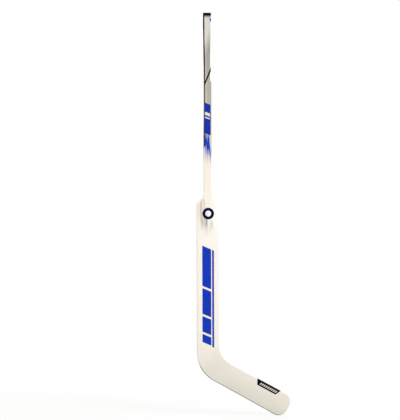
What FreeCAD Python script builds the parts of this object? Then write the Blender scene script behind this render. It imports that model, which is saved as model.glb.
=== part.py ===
import FreeCAD, Part
import math
import os

from FreeCAD import Vector

# Ice hockey goalie stick: a hollow shaft with a pull-out butt plug, a foam-cored paddle and a curved blade.
# Millimetres. The origin is the centre of the shaft at the neck, where the shoulders of the paddle begin.
# +Z runs up the shaft, +X points towards the toe of the blade, and the front face looks towards -Y.

# Shaft: a rounded rectangular tube that steps down to a tenon inside the paddle.
SHAFT_WIDTH = 30.0
SHAFT_DEPTH = 20.0
SHAFT_RISE = 678.0
SHAFT_WALL = 2.2
TENON_STEP = 3.0
TENON_WALL = 1.6
BORE_FLOOR = 12.0
EDGE_RADIUS = 4.5

# Butt plug: a cap flush with the shaft, on a hollow ribbed spigot.
CAP_HEIGHT = 10.0
CAP_EDGE_RADIUS = 2.5
SPIGOT_LENGTH = 45.0
SPIGOT_WALL = 2.0
SPIGOT_CLEARANCE = 0.3
RIB_COUNT = 3
RIB_HEIGHT = 4.0
RIB_PROUD = 0.2

# Paddle: from the neck down to the sharp corner of the heel.
PADDLE_WIDTH = 82.5
PADDLE_LENGTH = 660.0
SHOULDER_DROP = 33.5
NECK_RADIUS = 14.0
SHOULDER_RADIUS = 8.0

# Blade: measured along its sole from the sharp corner of the heel.
SOLE_SLOPE = 29.3
BLADE_LENGTH = 366.0
BLADE_HEIGHT_HEEL = 85.0
BLADE_HEIGHT_TOE = 89.5
HEEL_RADIUS = 118.0
THROAT_RADIUS = 85.0
TOE_SOLE_RADIUS = 34.0
TOE_TOP_RADIUS = 35.0
CURVE_START = 112.0
TOE_HOOK = 12.0
TOE_DEPTH = 12.0

# Laminate and what it wraps.
SKIN = 1.2
RAIL_WIDTH = 7.0
HEEL_BLOCK_RISE = 118.0
HEEL_BLOCK_REACH = 112.0
TENON_SEAT = 26.0
STRINGER = 4.0
STRINGER_HEIGHT = 43.0
STRINGER_SEAT = 16.0

# Label let into the front of the blade, close under its top edge.
LABEL_FILM = 0.3
LABEL_GLUE = 0.1
LABEL_TOE_GAP = 57.0
LABEL_LENGTH = 95.0
LABEL_HEIGHT = 17.0
LABEL_SLANT = 9.0
LABEL_MARGIN = 0.5

# Working distances, larger than the stick in every direction.
FAR = 3.0 * (SHAFT_RISE + PADDLE_LENGTH + BLADE_LENGTH)
SEAM_MARGIN = 1.0

slope = math.radians(SOLE_SLOPE)
along_sole = Vector(math.cos(slope), 0, -math.sin(slope))
up_blade = Vector(math.sin(slope), 0, math.cos(slope))
heel = Vector(-PADDLE_WIDTH / 2, 0, -PADDLE_LENGTH)
blade_flare = (BLADE_HEIGHT_TOE - BLADE_HEIGHT_HEEL) / BLADE_LENGTH
shoulder_turn = math.atan2((PADDLE_WIDTH - SHAFT_WIDTH) / 2, SHOULDER_DROP)
seam_height = NECK_RADIUS * math.tan(shoulder_turn / 2) + SEAM_MARGIN
heel_block_top = HEEL_BLOCK_RISE - PADDLE_LENGTH
tenon_end = heel_block_top - TENON_SEAT


def blade_point(along, up):
    """A point of the blade's own grid, in the plane between its faces at the heel."""
    return heel + along_sole * along + up_blade * up


def blade_top(along):
    """Height of the blade's top edge over its sole."""
    return BLADE_HEIGHT_HEEL + blade_flare * along


def outline_corners():
    """The stick's outline seen from the front, as (point, rounding radius), from the butt down the heel side."""
    half_shaft = SHAFT_WIDTH / 2
    half_paddle = PADDLE_WIDTH / 2
    throat_along = (PADDLE_WIDTH - BLADE_HEIGHT_HEEL * up_blade.x) / (along_sole.x + blade_flare * up_blade.x)
    return [
        (Vector(-half_shaft, 0, SHAFT_RISE), 0),
        (Vector(-half_shaft, 0, 0), NECK_RADIUS),
        (Vector(-half_paddle, 0, -SHOULDER_DROP), SHOULDER_RADIUS),
        (heel, HEEL_RADIUS),
        (blade_point(BLADE_LENGTH, 0), TOE_SOLE_RADIUS),
        (blade_point(BLADE_LENGTH, BLADE_HEIGHT_TOE), TOE_TOP_RADIUS),
        (blade_point(throat_along, blade_top(throat_along)), THROAT_RADIUS),
        (Vector(half_paddle, 0, -SHOULDER_DROP), SHOULDER_RADIUS),
        (Vector(half_shaft, 0, 0), NECK_RADIUS),
        (Vector(half_shaft, 0, SHAFT_RISE), 0),
    ]


def inward(direction):
    """Normal on the inner side of an outline that runs along direction."""
    return Vector(-direction.z, 0, direction.x)


def turn_between(before, after):
    """Angle that the outline turns by at a corner, positive where the corner stands out."""
    return math.atan2(before.x * after.z - before.z * after.x, before.dot(after))


def sides_of(corners):
    """Unit direction of each side, from each corner to the next."""
    points = [point for point, _ in corners]
    return [(b - a).normalize() for a, b in zip(points, points[1:] + points[:1])]


def inset_corners(corners, inset):
    """The same outline moved inwards by inset, with its roundings kept concentric."""
    directions = sides_of(corners)
    moved = []
    for index, (point, radius) in enumerate(corners):
        before = directions[index - 1]
        after = directions[index]
        turn = turn_between(before, after)
        shift = inward(before) * inset - before * (inset * math.tan(turn / 2))
        rounding = radius - math.copysign(inset, turn) if radius else 0
        moved.append((point + shift, rounding))
    return moved


def prism(corners, reach=FAR):
    """Solid between -reach and +reach in Y with this rounded outline."""
    directions = sides_of(corners)
    ends = []
    edges = []
    for index, (point, radius) in enumerate(corners):
        before = directions[index - 1]
        after = directions[index]
        turn = turn_between(before, after)
        setback = radius * math.tan(abs(turn) / 2)
        start = point - before * setback
        end = point + after * setback
        ends.append((start, end))
        if radius:
            centre = start + inward(before) * math.copysign(radius, turn)
            middle = centre + (point - centre).normalize() * radius
            edges.append(Part.Arc(start, middle, end).toShape())
    for (_, leaving), (arriving, _) in zip(ends, ends[1:] + ends[:1]):
        edges.append(Part.LineSegment(leaving, arriving).toShape())
    face = Part.Face(Part.Wire(Part.__sortEdges__(edges)))
    face.translate(Vector(0, -reach, 0))
    return face.extrude(Vector(0, 2 * reach, 0))


def slab(front_inset, back_inset):
    """Everything between the front and the back face, each moved inwards. Past CURVE_START both faces
    follow arcs towards the front, the back one more tightly, so that the blade hooks and thins to its toe."""
    span = BLADE_LENGTH - CURVE_START
    thinning = (SHAFT_DEPTH - TOE_DEPTH) / 2
    lines = []
    for face_y, drop, inset in (
        (-SHAFT_DEPTH / 2, TOE_HOOK - thinning, front_inset),
        (SHAFT_DEPTH / 2, TOE_HOOK + thinning, -back_inset),
    ):
        radius = (span**2 + drop**2) / (2 * drop)
        sweep = math.asin(1.2 * span / radius)
        points = [Vector(-FAR, face_y + inset, 0), Vector(CURVE_START, face_y + inset, 0)]
        for share in (0.5, 1.0):
            swing = sweep * share
            points.append(
                Vector(
                    CURVE_START + (radius + inset) * math.sin(swing),
                    face_y - radius + (radius + inset) * math.cos(swing),
                    0,
                )
            )
        lines.append(points)
    front, back = lines
    edges = [
        Part.LineSegment(front[0], front[1]).toShape(),
        Part.Arc(front[1], front[2], front[3]).toShape(),
        Part.LineSegment(front[3], back[3]).toShape(),
        Part.Arc(back[3], back[2], back[1]).toShape(),
        Part.LineSegment(back[1], back[0]).toShape(),
        Part.LineSegment(back[0], front[0]).toShape(),
    ]
    solid = Part.Face(Part.Wire(edges)).extrude(Vector(0, 0, 2 * FAR))
    solid.translate(Vector(0, 0, -FAR))
    solid.rotate(Vector(0, 0, 0), Vector(0, 1, 0), SOLE_SLOPE)
    solid.translate(heel)
    return solid


def beyond(point, normal):
    """Everything on the side of a plane that its normal points to."""
    return Part.makeCylinder(FAR, FAR, point, normal)


def rounded_block(width, depth, radius, bottom, top):
    """Upright block centred on the shaft's axis, with rounded corners."""
    block = Part.makeBox(width, depth, top - bottom, Vector(-width / 2, -depth / 2, bottom))
    uprights = [edge for edge in block.Edges if abs(edge.tangentAt(edge.FirstParameter).z) > 0.5]
    return block.makeFillet(radius, uprights)


def envelope():
    """The whole stick as one block without the plug, with its front and back edges rounded."""
    body = prism(outline_corners()).common(slab(0, 0))
    rim_edges = []
    for face in body.Faces:
        normal = face.normalAt(*face.Surface.parameter(face.CenterOfMass))
        if abs(normal.y) > 0.5 or normal.z > 0.999:
            continue
        for edge in face.Edges:
            across = edge.tangentAt((edge.FirstParameter + edge.LastParameter) / 2)
            at_butt = all(vertex.Z > SHAFT_RISE - SEAM_MARGIN for vertex in edge.Vertexes)
            if abs(across.y) < 0.5 and not at_butt:
                rim_edges.append(edge)
    return body.makeFillet(EDGE_RADIUS, rim_edges)


def make_shaft(stick):
    """Tube above the seam, with the tenon under it."""
    tenon = tenon_block()
    bore = rounded_block(
        SHAFT_WIDTH - 2 * SHAFT_WALL,
        SHAFT_DEPTH - 2 * SHAFT_WALL,
        EDGE_RADIUS - SHAFT_WALL,
        seam_height + BORE_FLOOR,
        SHAFT_RISE + SEAM_MARGIN,
    )
    tenon_bore_width = SHAFT_WIDTH - 2 * (TENON_STEP + TENON_WALL)
    tenon_bore_depth = SHAFT_DEPTH - 2 * (SKIN + TENON_WALL)
    tenon_bore = Part.makeBox(
        tenon_bore_width,
        tenon_bore_depth,
        seam_height + BORE_FLOOR + SEAM_MARGIN - tenon_end + SEAM_MARGIN,
        Vector(-tenon_bore_width / 2, -tenon_bore_depth / 2, tenon_end - SEAM_MARGIN),
    )
    upper = stick.common(beyond(Vector(0, 0, seam_height), Vector(0, 0, 1)))
    return upper.fuse(tenon).removeSplitter().cut(bore).cut(tenon_bore)


def tenon_block():
    """Outside of the tenon: narrower than the shaft, and as deep as the gap between the paddle's skins."""
    width = SHAFT_WIDTH - 2 * TENON_STEP
    depth = SHAFT_DEPTH - 2 * SKIN
    return Part.makeBox(width, depth, seam_height - tenon_end, Vector(-width / 2, -depth / 2, tenon_end))


def make_plug():
    """Moulded butt plug: cap, hollow spigot, and ribs that grip the bore."""
    cap = rounded_block(SHAFT_WIDTH, SHAFT_DEPTH, EDGE_RADIUS, SHAFT_RISE, SHAFT_RISE + CAP_HEIGHT)
    top_edges = [edge for edge in cap.Edges if all(v.Z > SHAFT_RISE + CAP_HEIGHT / 2 for v in edge.Vertexes)]
    plug = cap.makeFillet(CAP_EDGE_RADIUS, top_edges)
    inset = SHAFT_WALL + SPIGOT_CLEARANCE
    corner = EDGE_RADIUS - inset
    spigot_end = SHAFT_RISE - SPIGOT_LENGTH
    plug = plug.fuse(spigot_ring(inset, corner, spigot_end, SHAFT_RISE))
    pitch = SPIGOT_LENGTH / RIB_COUNT
    for index in range(RIB_COUNT):
        middle = spigot_end + pitch * (index + 0.5)
        plug = plug.fuse(
            spigot_ring(inset - RIB_PROUD, corner + RIB_PROUD, middle - RIB_HEIGHT / 2, middle + RIB_HEIGHT / 2)
        )
    hollow = spigot_ring(inset + SPIGOT_WALL, corner, spigot_end - SEAM_MARGIN, SHAFT_RISE)
    return plug.removeSplitter().cut(hollow)


def spigot_ring(inset, corner, bottom, top):
    """One length of the spigot, set inwards from the shaft's outside."""
    return rounded_block(SHAFT_WIDTH - 2 * inset, SHAFT_DEPTH - 2 * inset, corner, bottom, top)


def by_x(solids):
    """Solids sorted from the heel side to the toe side."""
    return sorted(solids, key=lambda solid: solid.CenterOfMass.x)


def by_y(solids):
    """Solids sorted from the front to the back."""
    return sorted(solids, key=lambda solid: solid.CenterOfMass.y)


def by_height(solids):
    """Solids sorted from the sole of the blade upwards."""
    return sorted(solids, key=lambda solid: solid.CenterOfMass.dot(up_blade))


def make_paddle(paddle, core_space, middle):
    """Two skins, two rails along the edges, and foam each side of the tenon."""
    front_skin, back_skin = by_y(paddle.cut(middle).Solids)
    tenon = tenon_block()
    between_skins = paddle.common(middle).cut(tenon)
    rail_left, rail_right = by_x(between_skins.cut(prism(core_outline())).Solids)
    over_heel_block = beyond(Vector(0, 0, heel_block_top), Vector(0, 0, 1))
    under_seam = beyond(Vector(0, 0, seam_height), Vector(0, 0, -1))
    foam = core_space.common(over_heel_block).common(under_seam).cut(tenon)
    core_left, core_right = by_x(foam.Solids)
    return {
        "paddle_front_skin": front_skin,
        "paddle_back_skin": back_skin,
        "paddle_rail_left": rail_left,
        "paddle_rail_right": rail_right,
        "paddle_core_left": core_left,
        "paddle_core_right": core_right,
    }


def make_blade(blade, core_space, middle):
    """Two skins, strips along the edges, a stringer, and foam above and below it."""
    front_skin, back_skin = by_y(blade.cut(middle).Solids)
    rim = blade.common(middle).cut(prism(core_outline()))
    toe_start = blade_point(BLADE_LENGTH - max(TOE_SOLE_RADIUS, TOE_TOP_RADIUS) - SEAM_MARGIN, 0)
    sole_strip, top_strip = by_height(rim.common(beyond(toe_start, -along_sole)).Solids)
    past_heel_block = beyond(blade_point(HEEL_BLOCK_REACH, 0), along_sole)
    stringer = stringer_block(core_space)
    core_lower, core_upper = by_height(core_space.common(past_heel_block).cut(stringer).Solids)
    return {
        "blade_front_skin": front_skin.cut(label_pocket()),
        "blade_back_skin": back_skin,
        "blade_sole_strip": sole_strip,
        "blade_top_strip": top_strip,
        "toe_cap": rim.common(beyond(toe_start, along_sole)),
        "blade_stringer": stringer,
        "blade_core_lower": core_lower,
        "blade_core_upper": core_upper,
    }


def stringer_block(core_space):
    """Laminate web along the middle of the blade, from its slot in the heel block to the toe cap."""
    over = beyond(blade_point(0, STRINGER_HEIGHT - STRINGER / 2), up_blade)
    under = beyond(blade_point(0, STRINGER_HEIGHT + STRINGER / 2), -up_blade)
    from_slot = beyond(blade_point(HEEL_BLOCK_REACH - STRINGER_SEAT, 0), along_sole)
    return core_space.common(over).common(under).common(from_slot)


def make_heel_block(core_space):
    """Dense block that ties the tenon to the stringer round the corner of the heel."""
    below = beyond(Vector(0, 0, heel_block_top), Vector(0, 0, -1))
    before = beyond(blade_point(HEEL_BLOCK_REACH, 0), -along_sole)
    return core_space.common(below).common(before).cut(tenon_block()).cut(stringer_block(core_space))


def label_corners():
    """Corners of the label: a strip with slanted ends, close under the blade's top edge."""
    top_inset = EDGE_RADIUS + LABEL_MARGIN
    end = BLADE_LENGTH - LABEL_TOE_GAP
    start = end - LABEL_LENGTH
    corners = [
        blade_point(start + LABEL_SLANT, blade_top(start) - top_inset - LABEL_HEIGHT),
        blade_point(end - LABEL_SLANT, blade_top(end) - top_inset - LABEL_HEIGHT),
        blade_point(end, blade_top(end) - top_inset),
        blade_point(start, blade_top(start) - top_inset),
    ]
    return [(corner, 0) for corner in corners]


def make_label():
    """Film let into the front of the blade, flush with it."""
    film = slab(0, SKIN).cut(slab(LABEL_FILM, 0))
    return prism(label_corners()).common(film)


def label_pocket():
    """What the front skin loses for the film and the glue under and round it."""
    layer = slab(-SEAM_MARGIN, SKIN).cut(slab(LABEL_FILM + LABEL_GLUE, 0))
    return prism(inset_corners(label_corners(), -LABEL_GLUE)).common(layer)


def core_outline():
    """Outline of what lies inside the rails and strips."""
    return inset_corners(outline_corners(), RAIL_WIDTH)


def build():
    """Every piece by its name."""
    stick = envelope()
    middle = slab(SKIN, SKIN)
    core_space = prism(core_outline()).common(middle)
    throat = outline_corners()[6][0]
    mitre = Vector(throat.z - heel.z, 0, heel.x - throat.x).normalize()
    paddle = stick.common(beyond(heel, -mitre)).common(beyond(Vector(0, 0, seam_height), Vector(0, 0, -1)))
    blade = stick.common(beyond(heel, mitre))
    return {
        "shaft_tube": make_shaft(stick),
        "butt_plug": make_plug(),
        **make_paddle(paddle, core_space, middle),
        "heel_block": make_heel_block(core_space),
        **make_blade(blade, core_space, middle),
        "toe_label": make_label(),
    }


os.makedirs("parts", exist_ok=True)
for name, shape in build().items():
    assert shape.isValid() and shape.Volume > 0, name
    solid = shape if shape.ShapeType == "Solid" else Part.makeCompound(shape.Solids)
    solid.exportStep(f"parts/{name}.step")
    print(f"{name}: {len(shape.Solids)} solid, {shape.Volume / 1000:.1f} cm3")
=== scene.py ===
import math

import bmesh
import bpy
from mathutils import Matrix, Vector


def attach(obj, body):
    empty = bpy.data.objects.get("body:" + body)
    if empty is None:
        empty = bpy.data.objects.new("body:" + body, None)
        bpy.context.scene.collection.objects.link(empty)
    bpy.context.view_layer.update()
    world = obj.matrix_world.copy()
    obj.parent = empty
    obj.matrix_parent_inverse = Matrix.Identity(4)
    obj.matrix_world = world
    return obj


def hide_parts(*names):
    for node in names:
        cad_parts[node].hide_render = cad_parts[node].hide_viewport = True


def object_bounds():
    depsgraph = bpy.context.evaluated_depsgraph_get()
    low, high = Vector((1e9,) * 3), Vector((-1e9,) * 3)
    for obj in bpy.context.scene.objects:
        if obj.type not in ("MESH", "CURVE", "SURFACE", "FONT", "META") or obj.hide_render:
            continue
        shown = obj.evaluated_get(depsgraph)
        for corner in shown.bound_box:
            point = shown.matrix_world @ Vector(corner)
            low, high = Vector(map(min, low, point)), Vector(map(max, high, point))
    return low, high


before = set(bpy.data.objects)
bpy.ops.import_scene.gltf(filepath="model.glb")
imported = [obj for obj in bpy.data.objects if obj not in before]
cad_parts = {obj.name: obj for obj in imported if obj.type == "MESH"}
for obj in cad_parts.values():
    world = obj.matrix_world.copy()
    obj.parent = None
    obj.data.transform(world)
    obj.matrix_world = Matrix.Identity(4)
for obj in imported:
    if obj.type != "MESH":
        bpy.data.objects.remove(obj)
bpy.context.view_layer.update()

MM = 0.001

# Sizes in millimetres, the same as in the CAD model.
SHAFT_W, SHAFT_D, SHAFT_RISE, SHAFT_WALL = 30.0, 20.0, 678.0, 2.2
EDGE_R, CAP_H, CAP_R = 4.5, 10.0, 2.5
SPIGOT, SPIGOT_WALL, SPIGOT_GAP, RIBS = 45.0, 2.0, 0.3, 3
PADDLE_W, PADDLE_L, SHOULDER_DROP, NECK_R, SHOULDER_R = 82.5, 660.0, 33.5, 14.0, 8.0
BLADE_L, HEEL_H, TOE_H, SLOPE = 366.0, 85.0, 89.5, math.radians(29.3)
HEEL_R, THROAT_R, TOE_SOLE_R, TOE_TOP_R = 118.0, 85.0, 34.0, 35.0
CURVE_START, TOE_HOOK, TOE_D = 112.0, 12.0, 12.0
SIN, COS = math.sin(SLOPE), math.cos(SLOPE)
FLARE = (TOE_H - HEEL_H) / BLADE_L
SHOULDER_SLOPE = SHOULDER_DROP / ((PADDLE_W - SHAFT_W) / 2)
HEEL_X, HEEL_Z = -PADDLE_W / 2, -PADDLE_L

# Sizes of the finish in millimetres, which only the scene has.
SCOOP_DEPTH, SCOOP_TONGUE = 1.05, 44.0
CROWN_DEPTH, CROWN_RISE = 1.0, 46.0
TONE_TONGUE = 62.0
BORE_END = 20.0
SOLE_TIP, SOLE_PROUD, SOLE_SUNK = 16.0, 0.12, 0.4
FILM_LIFT, FILM_SUNK = 0.16, 0.06
RING_X, RING_Z, RING_RADII = 2.0, -67.0, (11.0, 12.0, 21.0, 22.0)
LABEL_START, LABEL_END, LABEL_LIFT = 211.2, 311.2, 0.12
# Slants of the finish, as ratios.
LABEL_SLANT, PRINT_SLANT, BAR_SLANT, SLASH_CLIMB = 0.5, 0.42, 0.376, 2.34

# Dry-brush marks: where they start and end across the face, how far the toe side fans out and over what drop.
BRUSH_START, BRUSH_EDGE, BRUSH_FAN, FAN_START, FAN_DROP = -9.9, 7.0, 6.0, 3.5, 88.0
# Each zone's right limit, its marks' share of width at the top, and where they fill, thin out and end.
BRUSH_ZONES = (
    (-7.2, 0.5, 209.0, 191.0, 134.0),
    (-3.4, 0.5, 209.0, 199.0, 134.0),
    (0.3, 0.34, 195.0, 177.0, 118.0),
    (4.6, 0.5, 213.0, 178.0, 140.0),
)

FACES = {True: "front", False: "back"}


def smooth(low, high, value):
    """Smooth step from 0 at low to 1 at high."""
    t = min(max((value - low) / (high - low), 0.0), 1.0)
    return t * t * (3 - 2 * t)


def blade_point(along, up):
    """(x, z) of a point of the blade's own grid."""
    return HEEL_X + along * COS + up * SIN, HEEL_Z - along * SIN + up * COS


def blade_grid(x, z):
    """(along, up) of a point on the blade."""
    dx, dz = x - HEEL_X, z - HEEL_Z
    return dx * COS - dz * SIN, dx * SIN + dz * COS


def face_y(x, z, front):
    """Depth of the front or back face at a point of the outline's plane."""
    along, up = blade_grid(x, z)
    past = max(0.0, along - CURVE_START)
    thinning = (SHAFT_D - TOE_D) / 2
    drop = TOE_HOOK - thinning if front else TOE_HOOK + thinning
    span = BLADE_L - CURVE_START
    radius = (span**2 + drop**2) / (2 * drop)
    sag = radius - math.sqrt(radius**2 - past**2)
    # The lower blade rounds away towards the sole, and the shoulders are scooped for the fingers.
    tongue = SHAFT_W / 2 * min(1.0, max(0.0, 1 + z / SCOOP_TONGUE))
    scoop = smooth(-1, 12, abs(x) - tongue) * smooth(4, -16, z) * smooth(-125, -40, z)
    crown = smooth(40, 150, along) * max(0.0, 1 - up / CROWN_RISE) ** 2
    sunk = max(SCOOP_DEPTH * scoop, CROWN_DEPTH * crown)
    return (-SHAFT_D / 2 + sunk if front else SHAFT_D / 2 - sunk) - sag


class Side:
    """One side of the outline from the butt to the middle of the toe, by the length along it."""

    def __init__(self, corners, outward):
        self.parts = []
        self.marks = []
        self.outward = outward
        self.length = 0.0
        x, z = corners[0][:2]
        for index in range(1, len(corners)):
            cx, cz, radius = corners[index]
            step = math.hypot(cx - corners[index - 1][0], cz - corners[index - 1][1])
            dx, dz = (cx - corners[index - 1][0]) / step, (cz - corners[index - 1][1]) / step
            setback = turn = 0.0
            if radius:
                nx, nz = corners[index + 1][0] - cx, corners[index + 1][1] - cz
                turn = math.atan2(dx * nz - dz * nx, dx * nx + dz * nz)
                setback = radius * math.tan(abs(turn) / 2)
            end_x, end_z = cx - dx * setback, cz - dz * setback
            run = math.hypot(end_x - x, end_z - z)
            self.parts.append((self.length, run, x, z, dx, dz, 0.0))
            self.length += run
            x, z = end_x, end_z
            if radius:
                bend = math.copysign(1 / radius, turn)
                arc = radius * abs(turn)
                self.parts.append((self.length, arc, x, z, dx, dz, bend))
                self.marks.append((self.length, self.length + arc))
                x, z, _, _ = self.follow(self.parts[-1], arc)
                self.length += arc

    def follow(self, part, run):
        """(x, z, direction x, z) at a run along one straight or arc."""
        _, _, x, z, dx, dz, bend = part
        if not bend:
            return x + dx * run, z + dz * run, dx, dz
        swing = run * bend
        s, c = math.sin(swing), math.cos(swing)
        ahead, aside = s / bend, (1 - c) / bend
        return x + dx * ahead - dz * aside, z + dz * ahead + dx * aside, dx * c - dz * s, dz * c + dx * s

    def at(self, length):
        """(x, z, outward normal x, z)."""
        length = min(max(length, 0.0), self.length)
        part = [p for p in self.parts if p[0] <= length + 1e-9][-1]
        x, z, dx, dz = self.follow(part, length - part[0])
        return x, z, dz * self.outward, -dx * self.outward


toe_middle = (TOE_SOLE_R + TOE_H - TOE_TOP_R) / 2
throat_along = (PADDLE_W - HEEL_H * SIN) / (COS + FLARE * SIN)
left = Side(
    [
        (-SHAFT_W / 2, SHAFT_RISE, 0),
        (-SHAFT_W / 2, 0, NECK_R),
        (-PADDLE_W / 2, -SHOULDER_DROP, SHOULDER_R),
        (HEEL_X, HEEL_Z, HEEL_R),
        (*blade_point(BLADE_L, 0), TOE_SOLE_R),
        (*blade_point(BLADE_L, toe_middle), 0),
    ],
    1,
)
right = Side(
    [
        (SHAFT_W / 2, SHAFT_RISE, 0),
        (SHAFT_W / 2, 0, NECK_R),
        (PADDLE_W / 2, -SHOULDER_DROP, SHOULDER_R),
        (*blade_point(throat_along, HEEL_H + FLARE * throat_along), THROAT_R),
        (*blade_point(BLADE_L, TOE_H), TOE_TOP_R),
        (*blade_point(BLADE_L, toe_middle), 0),
    ],
    -1,
)


def stations():
    """Pairs of lengths along the left and right side that the cross-sections join, and the seams' indices."""
    throat_start, throat_end = right.marks[2]
    heel_end = left.marks[2][1]
    toe_start = left.marks[3][0]
    throat_z = right.at(throat_start)[1]
    left_throat = left.marks[1][1] + left.at(left.marks[1][1])[1] - throat_z
    end_along = blade_grid(*right.at(throat_end)[:2])[0]
    left_end = heel_end + end_along - blade_grid(*left.at(heel_end)[:2])[0]
    right_toe = throat_end + (blade_grid(*left.at(toe_start)[:2])[0] - end_along) * math.hypot(1, FLARE)
    keys = [
        (0.0, 0.0, 64),
        (left.marks[0][0] - 1, right.marks[0][0] - 1, 1),
        (left.marks[0][0], right.marks[0][0], 8),
        (left.marks[0][1], right.marks[0][1], 10),
        (left.marks[1][0], right.marks[1][0], 8),
        (left.marks[1][1], right.marks[1][1], 60),
        (left_throat, throat_start, 44),
        (left_end, throat_end, 36),
        (toe_start, right_toe, 40),
        (left.length, right.length, 0),
    ]
    pairs = []
    starts = []
    for (a, b, count), (c, d, _) in zip(keys, keys[1:]):
        starts.append(len(pairs))
        pairs += [(a + (c - a) * i / count, b + (d - b) * i / count) for i in range(count)]
    pairs.append(keys[-1][:2])
    # One seam is just above the neck, the other half-way round the throat.
    return pairs, starts[1], starts[6] + keys[6][2] // 2


COLUMNS = [0.02] + [k / 18 for k in range(1, 18)] + [0.98]
ROUND = 8


def edge_point(side, length, angle, front, inset=0.0, lift=0.0):
    """Point on an edge's rounding (angle 0 on the face, 90 degrees on the side) or inset on the face."""
    x, z, nx, nz = side.at(length)
    inset = inset + EDGE_R * (1 - math.sin(angle))
    x, z = x - nx * inset, z - nz * inset
    out = -1 if front else 1
    y = face_y(x, z, front) - out * EDGE_R * (1 - math.cos(angle))
    outwards = lift * math.sin(angle)
    return x + nx * outwards, y + out * lift * math.cos(angle), z + nz * outwards


def rim(side, length, front):
    """Rounding of one edge, from the flat face out to the side."""
    return [edge_point(side, length, math.pi / 2 * k / ROUND, front) for k in range(ROUND + 1)]


def section(pair):
    """One closed cross-section of the stick: front face, right edge, back face, left edge."""
    loops = {}
    for front in (True, False):
        from_left = rim(left, pair[0], front)
        from_right = rim(right, pair[1], front)
        a, b = from_left[0], from_right[0]
        flat = []
        for share in COLUMNS:
            x, z = a[0] + (b[0] - a[0]) * share, a[2] + (b[2] - a[2]) * share
            flat.append((x, face_y(x, z, front), z))
        loops[front] = from_left, flat, from_right
    front_left, front_flat, front_right = loops[True]
    back_left, back_flat, back_right = loops[False]
    return front_left[::-1] + front_flat + front_right + back_right[::-1] + back_flat[::-1] + back_left


def new_object(name, bm, material, sharp=35):
    """Object from a bmesh in millimetres, with smooth faces and sharp creases."""
    bmesh.ops.remove_doubles(bm, verts=bm.verts, dist=1e-4)
    bmesh.ops.dissolve_degenerate(bm, edges=bm.edges, dist=1e-5)
    bmesh.ops.recalc_face_normals(bm, faces=bm.faces)
    bmesh.ops.scale(bm, verts=bm.verts, vec=(MM, MM, MM))
    mesh = bpy.data.meshes.new(name)
    bm.to_mesh(mesh)
    bm.free()
    mesh.polygons.foreach_set("use_smooth", [True] * len(mesh.polygons))
    mesh.set_sharp_from_angle(angle=math.radians(sharp))
    obj = bpy.data.objects.new(name, mesh)
    bpy.context.scene.collection.objects.link(obj)
    mesh.materials.append(material)
    return obj


def tube(bm, loops, cap_start=True, cap_end=True):
    """Quads between closed loops of equal length, with the ends filled."""
    rings = [[bm.verts.new(point) for point in loop] for loop in loops]
    count = len(rings[0])
    for a, b in zip(rings, rings[1:]):
        for i in range(count):
            j = (i + 1) % count
            bm.faces.new((a[i], a[j], b[j], b[i]))
    if cap_start:
        bm.faces.new(rings[0])
    if cap_end:
        bm.faces.new(rings[-1])


def bar_loop(inset, z):
    """Rounded rectangle round the shaft's axis, set inwards from the shaft's outside."""
    half_w, half_d = SHAFT_W / 2 - inset, SHAFT_D / 2 - inset
    radius = max(EDGE_R - inset, 0.6)
    loop = []
    for quarter, (sx, sy) in enumerate(((1, 1), (-1, 1), (-1, -1), (1, -1))):
        for k in range(ROUND + 1):
            angle = math.pi / 2 * (quarter + k / ROUND)
            x = sx * (half_w - radius) + radius * math.cos(angle)
            y = sy * (half_d - radius) + radius * math.sin(angle)
            loop.append((x, y, z))
    return loop


# Materials: every one is built from nodes on the object's own coordinates, which are the part's, in metres.


def srgb(r, g, b):
    """Linear colour of an 8-bit sRGB one."""

    def line(v):
        v /= 255
        return v / 12.92 if v <= 0.04045 else ((v + 0.055) / 1.055) ** 2.4

    return line(r), line(g), line(b), 1.0


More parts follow.
